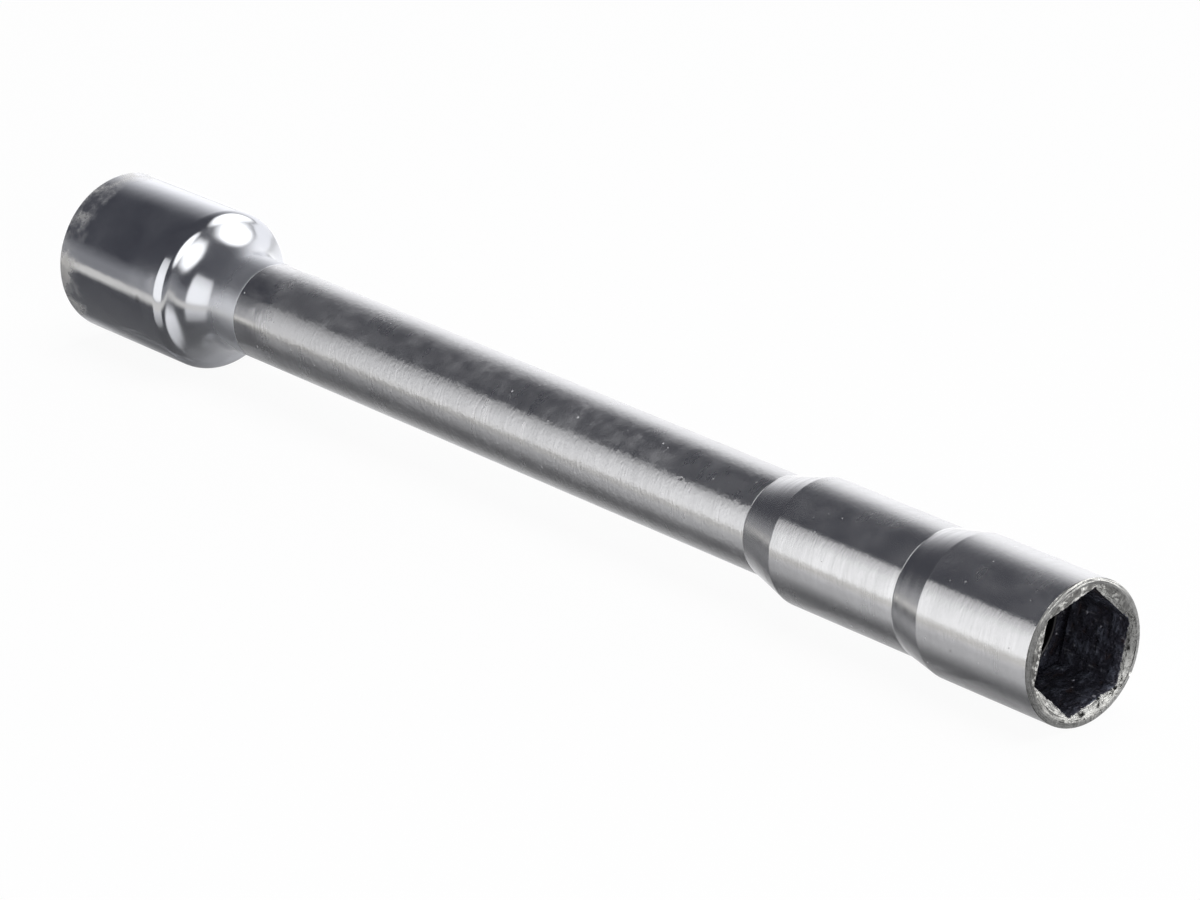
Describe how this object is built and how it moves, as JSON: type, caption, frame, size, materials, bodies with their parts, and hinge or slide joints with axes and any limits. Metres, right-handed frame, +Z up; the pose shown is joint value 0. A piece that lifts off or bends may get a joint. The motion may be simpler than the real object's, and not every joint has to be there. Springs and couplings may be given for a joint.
{
  "type": "spark plug wrench",
  "caption": "Long in-line spark plug wrench: polished head with a square drive, straight satin shaft, and a stepped nose with a hexagonal socket and a rubber plug grip inside.",
  "frame": {"origin": "on the wrench's axis, midway between the drive end face and the socket mouth", "axes": "+X along the axis from the square drive to the hexagonal mouth, +Z up as it lies in the picture, +Y away from the viewer's side"},
  "size_m": [0.225, 0.026, 0.026],
  "materials": {
    "polished_chrome": "polished plating",
    "satin_shaft_steel": "satin, ground round",
    "satin_barrel_steel": "satin, ground round, with a polished cone",
    "satin_nose_steel": "satin, ground round, with a polished cone and a black broached hexagon",
    "black_rubber": "matt"
  },
  "bodies": {
    "root": {"drive_head": "polished_chrome", "shaft": "satin_shaft_steel", "barrel": "satin_barrel_steel", "hex_nose": "satin_nose_steel", "plug_grip": "black_rubber"}
  },
  "joints": []
}
